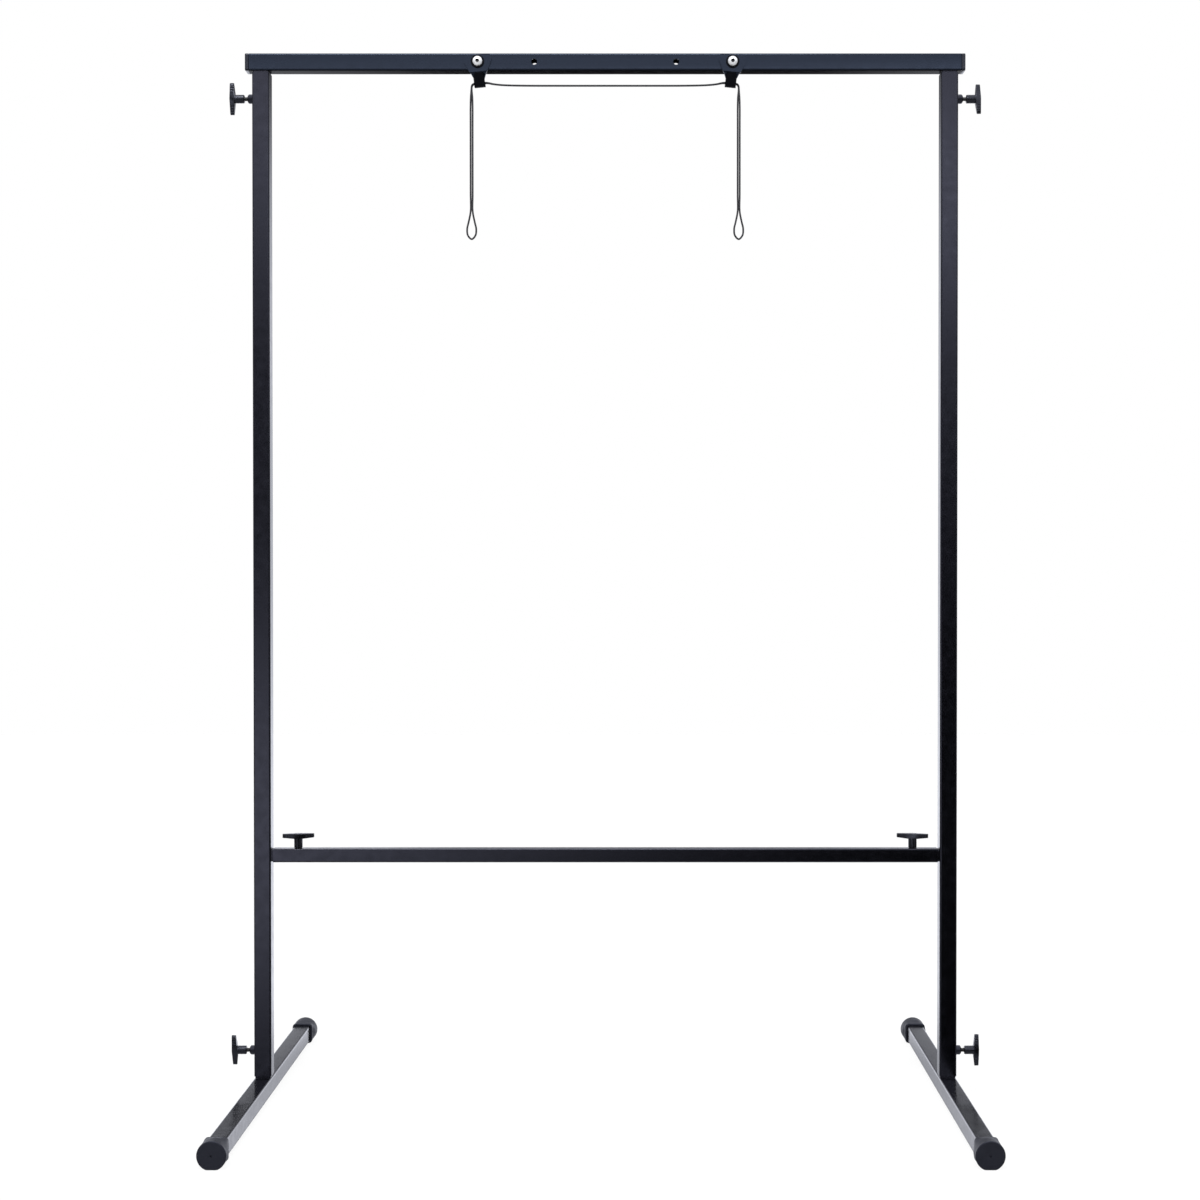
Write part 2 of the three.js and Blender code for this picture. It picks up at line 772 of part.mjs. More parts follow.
function hookBracket() {
  const wide = plateWidth + 2 * cutOverrun;
  const overlap = bentLine(troughStart, neckHeading, [{ run: sleeveWall }]);
  const plate = strip([...plateLine, overlap[1]], stripThickness, wide, plateOutline());
  const hook = strip(troughLine(0), stripThickness, wide, lipOutline(0));
  const hole = rod(boltHoleRadius, -mainTube, mainTube, roundSides).rotateX(quarterTurn);
  return geometryOf(plate.add(hook).subtract(solidOf(hole)));
}

// Rubber sleeve pulled over the lip and round the trough
function hookSleeve() {
  const outerMargin = sleeveGap + sleeveWall;
  const outer = strip(
    troughLine(outerMargin),
    stripThickness + 2 * outerMargin,
    hookWidth + 2 * outerMargin,
    lipOutline(outerMargin),
  );
  const line = troughLine(sleeveGap);
  const mouth = bentLine(troughStart, neckHeading + 180, [{ run: cutOverrun }]);
  const inner = strip(
    [mouth[1], ...line],
    stripThickness + 2 * sleeveGap,
    hookWidth + 2 * sleeveGap,
    lipOutline(sleeveGap),
  );
  return geometryOf(outer.subtract(inner));
}

// Button-head bolt with a hex socket, its washer and its nut, each along +Z from the head
const washerZ = stripThickness + 2 * seatGap;
const headZ = washerZ + washerThickness + seatGap;

function hookBolt() {
  const dome = [0, 1, 2, 3, 4].map((k) => {
    const angle = (k * quarterTurn) / 4;
    const rim = boltHeadHeight * boltRimShare;
    return [
      boltHeadRadius * Math.sin(quarterTurn - angle),
      headZ + rim + (boltHeadHeight - rim) * Math.sin(angle),
    ];
  });
  const end = -(mainTube + seatGap + hookNutHeight + boltPastNut);
  const bolt = turned([
    [0, end],
    [boltRadius - screwChamfer, end],
    [boltRadius, end + screwChamfer],
    [boltRadius, headZ],
    [boltHeadRadius, headZ],
    ...dome,
  ], roundSides);
  const headTop = headZ + boltHeadHeight;
  const socket = hexRod(socketAcrossFlats, headTop - socketDepth, headTop + cutOverrun);
  return geometryOf(solidOf(bolt).subtract(solidOf(socket)));
}

function boltWasher() {
  const edge = washerThickness * washerEdgeShare;
  return new THREE.LatheGeometry([
    [boltHoleRadius, washerZ],
    [washerRadius, washerZ],
    [washerRadius, washerZ + washerThickness - edge],
    [washerRadius - edge, washerZ + washerThickness],
    [boltHoleRadius, washerZ + washerThickness],
    [boltHoleRadius, washerZ],
  ].map(([r, z]) => new THREE.Vector2(r, z)), roundSides).rotateX(quarterTurn);
}

function hookNut() {
  const near = -(mainTube + seatGap);
  const far = near - hookNutHeight;
  const cornerRadius = hookNutAcrossFlats / 2 / Math.cos(Math.PI / 6);
  const hex = hexRod(hookNutAcrossFlats, far, near);
  const rounding = turned([
    [0, far],
    [cornerRadius - hookNutChamfer, far],
    [cornerRadius, far + hookNutChamfer],
    [cornerRadius, near],
    [0, near],
  ], roundSides);
  const bore = rod(boltHoleRadius, far - cutOverrun, near + cutOverrun, roundSides);
  return geometryOf(solidOf(hex).intersect(solidOf(rounding)).subtract(solidOf(bore)));
}

for (const [name, side] of [["left", -1], ["right", 1]]) {
  const bracket = addGroup((side * hookSpacing) / 2, 0, topAxisZ);
  bracket.rotation.y = side * bracketTilt * degree;
  addMesh(bracket, `${name}_hook_bracket`, hookBracket(), powderCoat);
  addMesh(bracket, `${name}_hook_sleeve`, hookSleeve(), rubber);
  const fixing = addGroup((side * hookSpacing) / 2, -mainHalf, topAxisZ);
  fixing.rotation.x = quarterTurn;
  addMesh(fixing, `${name}_hook_bolt`, hookBolt(), brightSteel);
  addMesh(fixing, `${name}_bolt_washer`, boltWasher(), plastic);
  addMesh(fixing, `${name}_hook_nut`, hookNut(), brightSteel);
}

// Cord: two strands lie side by side in both troughs and cross between them. Outside each hook
// they hang as one loop. Routes are measured from the middle of the trough, where u is outward.
const loopRoute = [
  [0.2, -1.5, 0.1],
  [8.2, -1.5, -0.6],
  [10.6, -1.5, -2],
  [11.7, -1.5, -4.8],
  [12, -1.5, -9],
  [12.9, -1.1, -20],
  [13.4, 0, -34],
  [13.4, 0, -60],
  [13.4, 0, -158],
  [13.4, 0, -184],
  [16.2, 0, -199],
  [18.4, 0, -209],
  [17.4, 0, -218.5],
  [11.9, 0, -224],
  [6.4, 0, -218.5],
  [5.4, 0, -209],
  [7.6, 0, -199],
  [10.4, 0, -184],
  [10.4, 0, -158],
  [10.4, 0, -60],
  [10.4, 0, -34],
  [10.8, 1.1, -20],
  [11.8, 1.5, -9],
  [11.7, 1.5, -4.8],
  [10.6, 1.5, -2],
  [8.2, 1.5, -0.6],
  [0.2, 1.5, 0.1],
];

// Half of a span: steps inward from the middle of the trough and the heights there of the front
// and rear strands, level across the middle
const spanRoute = [
  [0.2, 0.1, 0.1],
  [8.4, 0.95, 0.95],
  [12.5, 0.5, 0.8],
  [20, -1.1, -0.5],
  [34, -2.5, -1.8],
  [60, -3.2, -2.5],
  [120, -3.4, -2.7],
];

// Follows its points one by one, so that tight bends get as many rings as they have points
class HandRoute extends THREE.CatmullRomCurve3 {
  getUtoTmapping(u) {
    return u;
  }
}

function cordTube(points) {
  const section = new THREE.Shape();
  const radius = cordDiameter / 2;
  for (let k = 0; k < cordSides; k += 1) {
    const angle = (k * 4 * quarterTurn) / cordSides;
    const [x, y] = [radius * Math.cos(angle), radius * Math.sin(angle)];
    if (k === 0) {
      section.moveTo(x, y);
    } else {
      section.lineTo(x, y);
    }
  }
  section.closePath();
  const route = new HandRoute(points, false, "centripetal");
  return extrude(section, 0, { extrudePath: route, steps: points.length - 1 });
}

// The middle of a trough, where the strands lie, turned with its bracket about the bolt
const strandZ = troughBottomZ + stripThickness / 2 + sleeveGap + sleeveWall + seatGap + cordDiameter / 2;
const troughStartPoint = new THREE.Vector2(...troughStart);
const troughY = troughStartPoint.x - troughRadius * Math.sin(troughTurn * degree) - troughFlat / 2;
const tiltReach = Math.sin(bracketTilt * degree) * -strandZ;
const troughMiddle = new THREE.Vector3(
  hookSpacing / 2 - tiltReach,
  troughY,
  topAxisZ + strandZ * Math.cos(bracketTilt * degree),
);

function loopPoints(side) {
  return loopRoute.map(([u, y, z]) => new THREE.Vector3(
    side * (troughMiddle.x + u),
    troughMiddle.y + y,
    troughMiddle.z + z,
  ));
}

function spanPoints(strandSide) {
  const half = spanRoute.map(([inward, frontHeight, rearHeight]) => [
    inward - troughMiddle.x,
    troughMiddle.y + (strandSide * cordStrandPitch) / 2,
    troughMiddle.z + (strandSide < 0 ? frontHeight : rearHeight),
  ]);
  const lowest = [0, ...half[half.length - 1].slice(1)];
  const mirrored = half.map(([x, y, z]) => [-x, y, z]).reverse();
  return [...half, lowest, ...mirrored].map((point) => new THREE.Vector3(...point));
}

addMesh(group, "cord_left_loop", cordTube(loopPoints(-1)), cordFibre);
addMesh(group, "cord_right_loop", cordTube(loopPoints(1)), cordFibre);
addMesh(group, "cord_front_span", cordTube(spanPoints(-1)), cordFibre);
addMesh(group, "cord_rear_span", cordTube(spanPoints(1)), cordFibre);

export default group;
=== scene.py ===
# Gong stand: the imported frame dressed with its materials, threaded screws and braided cord,
# in a plain white studio.

import json
import math

import bpy
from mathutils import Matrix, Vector


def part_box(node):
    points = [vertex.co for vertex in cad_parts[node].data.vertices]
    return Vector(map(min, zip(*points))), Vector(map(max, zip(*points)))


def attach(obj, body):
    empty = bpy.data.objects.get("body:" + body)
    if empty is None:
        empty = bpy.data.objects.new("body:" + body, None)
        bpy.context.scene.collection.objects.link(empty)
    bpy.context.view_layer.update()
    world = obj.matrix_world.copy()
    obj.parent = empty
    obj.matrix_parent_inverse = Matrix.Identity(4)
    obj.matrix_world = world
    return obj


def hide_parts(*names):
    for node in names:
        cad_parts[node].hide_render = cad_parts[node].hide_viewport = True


MM = 0.001

# Camera, in metres, radians and pixels of a 1200 pixel frame
IMAGE_SIZE = 1200
CAMERA_PLACE = (0.0467, -2.93, 0.7512)
CAMERA_PITCH = -0.0121
FOCAL_PIXELS = 2015.3
AXIS_PIXEL = (637.5, 606.0)
SENSOR = 36.0
CLIP_END = 100.0

# Cord, in millimetres, measured from the middle of each trough
CORD_DIAMETER = 2.7
STRAND_SIDE = 1.5
HOOK_SPACING = 368.0
HOOK_TILT = math.radians(5.5)
BAR_AXIS_HEIGHT = 1501.5
STRAND_DROP = 31.7
TROUGH_DEPTH = -11.897
CORD_SIDES = 14
CORD_STEP = 1.2
SHORTEST_STEP = 1e-6
BRAID_PITCH = 4.6
BRAID_CARRIERS = 8

# A hanging loop, in steps outward, back and up
LOOP_ROUTE = [
    (0.2, -1.5, 0.1),
    (8.2, -1.5, -0.6),
    (10.6, -1.5, -2),
    (11.7, -1.5, -4.8),
    (12, -1.5, -9),
    (12.9, -1.1, -20),
    (13.4, 0, -34),
    (13.4, 0, -60),
    (13.4, 0, -158),
    (13.4, 0, -184),
    (16.2, 0, -199),
    (18.4, 0, -209),
    (17.4, 0, -218.5),
    (11.9, 0, -224),
    (6.4, 0, -218.5),
    (5.4, 0, -209),
    (7.6, 0, -199),
    (10.4, 0, -184),
    (10.4, 0, -158),
    (10.4, 0, -60),
    (10.4, 0, -34),
    (10.8, 1.1, -20),
    (11.8, 1.5, -9),
    (11.7, 1.5, -4.8),
    (10.6, 1.5, -2),
    (8.2, 1.5, -0.6),
    (0.2, 1.5, 0.1),
]

# Half of a strand between the hooks, in steps inward, up in front and up behind
SPAN_ROUTE = [
    (0.2, 0.1, 0.1),
    (8.4, 0.95, 0.95),
    (12.5, 0.5, 0.8),
    (20, -1.1, -0.5),
    (34, -2.5, -1.8),
    (60, -3.2, -2.5),
    (120, -3.4, -2.7),
]

# Screw threads, in millimetres
THREAD_PITCH = 1.0
THREAD_DEPTH = 0.55
THREAD_SIDES = 20
THREAD_RINGS = 4
SCREW_CHAMFER = 0.7

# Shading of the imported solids, in metres
SMOOTH_ANGLE = math.radians(50)
WELD_DISTANCE = 0.002 * MM
FLAT_FACE_WEIGHT = 100
# Reach and floor of the painted shade in the hook bolts' hex sockets
SOCKET_REACH = 2.92 * MM
SOCKET_FLOOR = -18.6 * MM

# Finishes with a grain: grains per metre, and relief and rounding of edges in metres
POWDER_COAT = {
    "dark": (0.0010, 0.0010, 0.0014),
    "light": (0.0018, 0.0018, 0.0024),
    "roughness": (0.16, 0.22),
    "grain": 1100,
    "relief": 0.005 * MM,
    "edge": 0.35 * MM,
    "sheen": 0.5,
}
# The tints here and below colour each finish's reflections blue: painted colour of bluish room
# light
FRAME_TINT = (0.78, 0.79, 1)
TOP_TINT = (0.56, 0.70, 1)
# Painted shade on the top group's undersides: their sheen, and the normal heights where it
# fades
SHADED_UNDERSIDE_SHEEN = 0.01
UNDERSIDE_SHADE_SLOPE = (-0.9, -0.6)
RUBBER = {
    "roughness": (0.46, 0.58),
    "grain": 1600,
    "relief": 0.05 * MM,
    "edge": 0.4 * MM,
    "tint": (0.74, 0.78, 1),
}
CAP_RUBBER = {
    **RUBBER,
    "dark": (0.0040, 0.0041, 0.0052),
    "light": (0.0070, 0.0072, 0.0088),
    "sheen": 0.5,
}
# Real black rubber, made darker and less glossy than the caps as painted shade
BLACK_RUBBER_AND_PAINTED_SHADE = {
    **RUBBER,
    "dark": (0.0006, 0.0006, 0.0007),
    "light": (0.0016, 0.0016, 0.0018),
    "sheen": 0.12,
}
MOULDED_PLASTIC = {
    "dark": (0.0012, 0.0012, 0.0015),
    "light": (0.0028, 0.0028, 0.0034),
    "roughness": (0.18, 0.26),
    "grain": 2200,
    "relief": 0.03 * MM,
    "edge": 0.35 * MM,
    "sheen": 0.5,
    "tint": (0.8, 0.84, 1),
}
GRAINS_IN_CLOUD = 14
CLOUD_DETAIL = 4
GRAIN_DETAIL = 3
GRAIN_STRENGTH = 0.5
NOISE_MIDDLE = (0.3, 0.7)
EDGE_SAMPLES = 4

# Plated finishes
BLACKENED_STEEL = {
    "dark": (0.012, 0.012, 0.013),
    "light": (0.03, 0.03, 0.032),
    "roughness": (0.34, 0.46),
    "metallic": 0.35,
}
ZINC_PLATED_STEEL = {
    "dark": (0.80, 0.81, 0.83),
    "light": (0.90, 0.91, 0.92),
    "roughness": (0.24, 0.36),
    "metallic": 0.45,
}
SOCKET_SHADOW = {
    "dark": (0.002, 0.002, 0.002),
    "light": (0.006, 0.006, 0.006),
    "roughness": (0.5, 0.6),
    "metallic": 0,
}
PLATING_CLOUDS = 260
PLATING_CLOUD_DETAIL = 5
PLATING_STREAKS = 2600
PLATING_STREAK_DETAIL = 2
PLATING_STRENGTH = 0.3
PLATING_RELIEF = 0.01 * MM
PLATING_EDGE = 0.2 * MM

# Braided cord
# From dark in the braid's grooves, painted shade, to light on the yarns' crests
CORD_DARK = (0.003, 0.003, 0.004)
CORD_LIGHT = (0.018, 0.018, 0.022)
CORD_ROUGHNESS = 0.55
CORD_SHEEN = 0.1
CORD_SHEEN_ROUGHNESS = 0.4
BRAID_STRENGTH = 0.8
BRAID_RELIEF = 0.25 * MM
FIBRE_GRAIN = 5200
FIBRE_DETAIL = 2
FIBRE_SHARE = 0.25

# Floor and lamp, in metres and watts
FLOOR_SIZE = 14.0
FLOOR_DROP = 0.2 * MM
FLOOR_COLOUR = (0.98, 0.98, 0.98, 1)
FLOOR_ROUGHNESS = 0.9
FLOOR_CLEAR_SHARE = 0.88
FLOOR_GLOW = 0.045
LAMP_PLACE = (-0.3, -1.6, 3.1)
LAMP_TARGET = (0, 0, 0.7)
LAMP_SIZE = (1.6, 0.5)
LAMP_POWER = 40

# Room that glossy surfaces mirror. Each list gives brightness by the height of a direction,
# from -1 down to 1 up. Each pair of numbers says where along x or y one list passes into
# another.
PLAIN_LIGHT = 0.75
BRIGHTEST = 4.0
ROOM_TINT = (0.90, 0.92, 1.0)
LEFT_TO_RIGHT = (-0.2, 0.13)
HEAD_ON_TO_AROUND = (-0.88, -0.8)
FRONT_TO_SIDES = (-0.1, 0.3)
SIDES_TO_REAR = (0.82, 0.92)
MIDDLE_TO_REAR_SIDES = (0.09, 0.17)
ROOM_FRONT_LEFT = [
    (-1, 0.5), (-0.42, 0.5), (-0.34, 0), (-0.225, 0.05), (-0.195, 0.8), (-0.15, 2.7),
    (-0.1, 2.6), (-0.022, 0.5), (0.053, 0.12), (0.127, 0.2), (0.2, 1.9), (0.222, 3.4),
    (0.25, 1.2), (0.27, 1), (0.4, 1), (1, 1),
]
ROOM_FRONT_RIGHT = [
    (-1, 0.5), (-0.42, 0.5), (-0.34, 0), (-0.146, 0), (-0.022, 0), (0.053, 0.2), (0.12, 0.15),
    (0.15, 1.4), (0.178, 4), (0.198, 4), (0.23, 0.9), (0.27, 1.2), (0.4, 1), (1, 1),
]
ROOM_AROUND = [
    (-1, 0.5), (-0.42, 0.5), (-0.3, 0.35), (0, 0.4), (0.2, 0.7), (0.35, 1.2), (1, 1.6),
]
ROOM_REAR_SIDES = [
    (-1, 0.5), (-0.28, 1.5), (-0.245, 1.45), (-0.23, 1.1), (-0.215, 1.3), (-0.2, 2.7),
    (-0.1, 2.35), (0, 1.5), (0.05, 1.4), (0.11, 1.8), (0.16, 1.4), (0.2, 0.8), (0.225, 0.3),
    (0.245, 0.05), (0.3, 0.1), (0.4, 0.6), (1, 1),
]
ROOM_REAR_MIDDLE = [
    (-1, 0.5), (-0.38, 0.5), (-0.3, 0), (-0.21, 0), (-0.15, 0.1), (-0.1, 1.2), (0.05, 1.2),
    (0.13, 0.4), (0.18, 0.6), (0.25, 0.3), (0.4, 0.6), (1, 1),
]
ROOM_SIDES = [
    (-1, 0.5), (-0.42, 0.6), (-0.2, 0.7), (0.1, 0.65), (0.3, 0.9), (0.6, 1.2), (1, 1.4),
]


def place_camera():
    data = bpy.data.cameras.new("camera")
    data.sensor_width = SENSOR
    data.sensor_height = SENSOR
    data.lens = FOCAL_PIXELS / IMAGE_SIZE * SENSOR
    data.shift_x = -(AXIS_PIXEL[0] - IMAGE_SIZE / 2) / IMAGE_SIZE
    data.shift_y = (AXIS_PIXEL[1] - IMAGE_SIZE / 2) / IMAGE_SIZE
    data.clip_end = CLIP_END
    camera = bpy.data.objects.new("camera", data)
    camera.location = CAMERA_PLACE
    camera.rotation_euler = (math.pi / 2 + CAMERA_PITCH, 0, 0)
    bpy.context.scene.collection.objects.link(camera)
    bpy.context.scene.camera = camera


def add_object(name, vertices, faces):
    mesh = bpy.data.meshes.new(name)
    mesh.from_pydata([tuple(v) for v in vertices], [], faces)
    mesh.polygons.foreach_set("use_smooth", [True] * len(mesh.polygons))
    mesh.update()
    piece = bpy.data.objects.new(name, mesh)
    bpy.context.scene.collection.objects.link(piece)
    return piece


def skin(rings, sides):
    """The faces of a closed skin over rings of corners that follow one another."""
    faces = []
    for k in range(rings - 1):
        for s in range(sides):
            after = (s + 1) % sides
            low = k * sides
            high = low + sides
            faces.append((low + s, low + after, high + after, high + s))
    last = (rings - 1) * sides
    faces.append(tuple(reversed(range(sides))))
    faces.append(tuple(range(last, last + sides)))
    return faces


# Cord

def trough_middle(side):
    """The middle of a hook's trough, where side is -1 at the left and 1 at the right."""
    tilt_reach = STRAND_DROP * math.sin(HOOK_TILT)
    height = BAR_AXIS_HEIGHT - STRAND_DROP * math.cos(HOOK_TILT)
    return Vector((side * (HOOK_SPACING / 2 - tilt_reach), TROUGH_DEPTH, height))


def loop_points(side):
    middle = trough_middle(side)
    return [middle + Vector((side * u, y, z)) for u, y, z in LOOP_ROUTE]


def span_points(strand_side):
    """One strand from hook to hook, where strand_side is -1 in front and 1 behind."""
    middle = trough_middle(1)
    depth = middle.y + strand_side * STRAND_SIDE
    height = 1 if strand_side < 0 else 2
    half = [Vector((step[0] - middle.x, depth, middle.z + step[height])) for step in SPAN_ROUTE]
    lowest = Vector((0, depth, half[-1].z))
    other = [Vector((-p.x, p.y, p.z)) for p in reversed(half)]
    return [*half, lowest, *other]


def centripetal(before, start, end, after, t):
    """A place between start and end on a smooth curve, where t goes from 0 to 1."""
    knots = [0.0]
    for a, b in ((before, start), (start, end), (end, after)):
        knots.append(knots[-1] + math.sqrt(max((b - a).length, SHORTEST_STEP)))
    k0, k1, k2, k3 = knots
    at = k1 + t * (k2 - k1)
    a1 = before.lerp(start, (at - k0) / (k1 - k0))
    a2 = start.lerp(end, (at - k1) / (k2 - k1))
    a3 = end.lerp(after, (at - k2) / (k3 - k2))
    b1 = a1.lerp(a2, (at - k0) / (k2 - k0))
    b2 = a2.lerp(a3, (at - k1) / (k3 - k1))
    return b1.lerp(b2, t)


def smooth_line(points, step):
    """Points about one step apart on a smooth curve through the given points."""
    ends = [2 * points[0] - points[1], *points, 2 * points[-1] - points[-2]]
    line = []
    for k in range(1, len(ends) - 2):
        count = max(2, round((ends[k + 1] - ends[k]).length / step))
        for j in range(count):
            line.append(centripetal(ends[k - 1], ends[k], ends[k + 1], ends[k + 2], j / count))
    line.append(points[-1].copy())
    return line


def tube(name, line, radius, sides):
    """A closed tube about a line, both in millimetres, and its length in metres."""
    vertices = []
    lengths = [0.0]
    across = Vector((0, 1, 0))
    for k, point in enumerate(line):
        along = (line[min(k + 1, len(line) - 1)] - line[max(k - 1, 0)]).normalized()
        across = (across - along * across.dot(along)).normalized()
        other = along.cross(across)
        if k:
            lengths.append(lengths[-1] + (point - line[k - 1]).length)
        for s in range(sides):
            angle = 2 * math.pi * s / sides
            offset = across * math.cos(angle) + other * math.sin(angle)
            vertices.append((point + offset * radius) * MM)
    places = []
    for k in range(len(line) - 1):
        for s in range(sides):
            here = (s / sides, lengths[k])
            there = ((s + 1) / sides, lengths[k + 1])
            places.extend([here, (there[0], here[1]), there, (here[0], there[1])])
    places.extend([(0, 0)] * (2 * sides))
    piece = add_object(name, vertices, skin(len(line), sides))
    layer = piece.data.uv_layers.new(name="round_and_along")
    layer.data.foreach_set("uv", [value for place in places for value in place])
    return piece, lengths[-1] * MM


def make_cord(finish):
    rear = span_points(1)
    front = list(reversed(span_points(-1)))
    right = list(reversed(loop_points(1)))
    left = loop_points(-1)
    line = smooth_line([*rear, *right, *front, *left], CORD_STEP)
    piece, length = tube("hanging_cord", line, CORD_DIAMETER / 2, CORD_SIDES)
    piece.data.materials.append(finish)
    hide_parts("cord_left_loop", "cord_right_loop", "cord_front_span", "cord_rear_span")
    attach(piece, "crossbar")


# Screws

def threaded_rod(name, start, along, length, radius):
    """A round rod with a helical thread and a chamfer at its start, in millimetres."""
    across = Vector((0, 1, 0)).cross(along)
    other = along.cross(across)
    rings = max(2, round(length / THREAD_PITCH * THREAD_RINGS))
    vertices = []
    for k in range(rings + 1):
        place = length * k / rings
        for s in range(THREAD_SIDES):
            turn = s / THREAD_SIDES
            phase = (place / THREAD_PITCH - turn) % 1.0
            groove = THREAD_DEPTH * (1 - abs(2 * phase - 1))
            limit = radius - max(0.0, SCREW_CHAMFER - place)
            reach = min(radius - groove, limit)
            angle = 2 * math.pi * turn
            offset = across * math.cos(angle) + other * math.sin(angle)
            vertices.append((start + along * place + offset * reach) * MM)
    return add_object(name, vertices, skin(rings + 1, THREAD_SIDES))


def make_screws(finish):
    """Threaded screws in place of the six plain ones."""
    for side, sign in (("left", -1), ("right", 1)):
        for level in ("upper", "lower", "bar"):
            node = f"{side}_{level}_screw"
            low, high = (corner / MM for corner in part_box(node))
            middle = (low + high) / 2
            if level == "bar":
                start = Vector((middle.x, middle.y, low.z))
                along = Vector((0, 0, 1))
                length = high.z - low.z
            else:
                start = Vector((high.x if sign < 0 else low.x, middle.y, middle.z))
                along = Vector((sign, 0, 0))
                length = high.x - low.x
            radius = (high.y - low.y) / 2
            piece = threaded_rod(f"{node}_threaded", start, along, length, radius)
            piece.data.materials.append(finish)
            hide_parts(node)
            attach(piece, f"{node}_body")


# Materials

def new_material(name):
    material = bpy.data.materials.new(name)
    material.use_nodes = True
    tree = material.node_tree
    shader = tree.nodes["Principled BSDF"]
    return material, tree, shader


def add_node(tree, kind, **values):
    node = tree.nodes.new(kind)
    for key, value in values.items():
        setattr(node, key, value)
    return node


def object_place(tree):
    return add_node(tree, "ShaderNodeTexCoord").outputs["Object"]


def noise(tree, place, scale, detail):
    node = add_node(tree, "ShaderNodeTexNoise")
    node.inputs["Scale"].default_value = scale
    node.inputs["Detail"].default_value = detail
    tree.links.new(place, node.inputs["Vector"])
    return node.outputs["Fac"]


def ramp(tree, value, low, high, at_low, at_high):
    """Goes from low to high while the value goes from at_low to at_high, and stays there."""
    node = add_node(tree, "ShaderNodeMapRange")
    node.inputs["From Min"].default_value = at_low
    node.inputs["From Max"].default_value = at_high
    node.inputs["To Min"].default_value = low
    node.inputs["To Max"].default_value = high
    tree.links.new(value, node.inputs["Value"])
    return node.outputs["Result"]


def colour_between(tree, value, first, second):
    node = add_node(tree, "ShaderNodeMix", data_type="RGBA")
    colours = [s for s in node.inputs if s.type == "RGBA"]
    colours[0].default_value = (*first, 1)
    colours[1].default_value = (*second, 1)
    tree.links.new(value, node.inputs["Factor"])
    return next(s for s in node.outputs if s.type == "RGBA")


def bump(tree, height, strength, distance, normal=None):
    node = add_node(tree, "ShaderNodeBump")
    node.inputs["Strength"].default_value = strength
    node.inputs["Distance"].default_value = distance
    tree.links.new(height, node.inputs["Height"])
    if normal is not None:
        tree.links.new(normal, node.inputs["Normal"])
    return node.outputs["Normal"]


def rounded_edges(tree, radius):
    node = add_node(tree, "ShaderNodeBevel", samples=EDGE_SAMPLES)
    node.inputs["Radius"].default_value = radius
    return node.outputs["Normal"]


def speckled(name, dark, light, roughness, grain, relief, edge, sheen, tint):
    """A black finish with a fine moulded or sprayed grain, cloudy gloss and rounded edges."""
    material, tree, shader = new_material(name)
    place = object_place(tree)
    clouds = noise(tree, place, grain / GRAINS_IN_CLOUD, CLOUD_DETAIL)
    fine = noise(tree, place, grain, GRAIN_DETAIL)
    tree.links.new(colour_between(tree, clouds, dark, light), shader.inputs["Base Color"])
    tree.links.new(ramp(tree, clouds, *roughness, *NOISE_MIDDLE), shader.inputs["Roughness"])
    shader.inputs["Specular IOR Level"].default_value = sheen
    # Painted reflection colour: the tint turns the mirrored room blue
    shader.inputs["Specular Tint"].default_value = (*tint, 1)
    normal = rounded_edges(tree, edge)
    tree.links.new(bump(tree, fine, GRAIN_STRENGTH, relief, normal), shader.inputs["Normal"])
    return material


def paint_underside_shade(material):
    """Paints shade on what faces down by taking the sheen off it, since it mirrors nothing
    bright in the photograph.
    """
    tree = material.node_tree
    parts = add_node(tree, "ShaderNodeSeparateXYZ")
    tree.links.new(add_node(tree, "ShaderNodeNewGeometry").outputs["Normal"], parts.inputs[0])
    full = POWDER_COAT["sheen"]
    sheen = ramp(tree, parts.outputs["Z"], SHADED_UNDERSIDE_SHEEN, full, *UNDERSIDE_SHADE_SLOPE)
    tree.links.new(sheen, tree.nodes["Principled BSDF"].inputs["Specular IOR Level"])


def plated_steel(name, dark, light, roughness, metallic):
    """A plated finish with cloudy colour and streaked gloss."""
    material, tree, shader = new_material(name)
    place = object_place(tree)
    clouds = noise(tree, place, PLATING_CLOUDS, PLATING_CLOUD_DETAIL)
    streaks = noise(tree, place, PLATING_STREAKS, PLATING_STREAK_DETAIL)
    shader.inputs["Metallic"].default_value = metallic
    tree.links.new(colour_between(tree, clouds, dark, light), shader.inputs["Base Color"])
    tree.links.new(ramp(tree, streaks, *roughness, *NOISE_MIDDLE), shader.inputs["Roughness"])
    normal = rounded_edges(tree, PLATING_EDGE)
    relief = bump(tree, streaks, PLATING_STRENGTH, PLATING_RELIEF, normal)
    tree.links.new(relief, shader.inputs["Normal"])
    return material


def math_node(tree, operation, first, second=None):
    node = add_node(tree, "ShaderNodeMath", operation=operation)
    for socket, value in zip(node.inputs, (first, second)):
        if value is None:
            continue
        if isinstance(value, (int, float)):
            socket.default_value = value
        else:
            tree.links.new(value, socket)
    return node.outputs[0]


def braid_height(tree):
    """Two families of crossing yarns about the cord, each passing over and under the other."""
    places = add_node(tree, "ShaderNodeUVMap", uv_map="round_and_along")
    split = add_node(tree, "ShaderNodeSeparateXYZ")
    tree.links.new(places.outputs["UV"], split.inputs[0])
    along_rate = BRAID_CARRIERS / BRAID_PITCH / 2
    round_count = math_node(tree, "MULTIPLY", split.outputs["X"], float(BRAID_CARRIERS))
    along_count = math_node(tree, "MULTIPLY", split.outputs["Y"], along_rate)
    right = math_node(tree, "ADD", round_count, along_count)
    left = math_node(tree, "SUBTRACT", round_count, along_count)
    yarns = []
    for family in (right, left):
        part = math_node(tree, "FRACT", family)
        swing = math_node(tree, "MULTIPLY", part, math.pi)
        yarns.append(math_node(tree, "SINE", swing))
    rows = [math_node(tree, "FLOOR", family) for family in (right, left)]
    cells = math_node(tree, "ADD", *rows)
    over = math_node(tree, "PINGPONG", cells, 1.0)
    upper = math_node(tree, "MULTIPLY", yarns[0], over)
    under = math_node(tree, "SUBTRACT", 1.0, over)
    lower = math_node(tree, "MULTIPLY", yarns[1], under)
    return math_node(tree, "ADD", upper, lower)


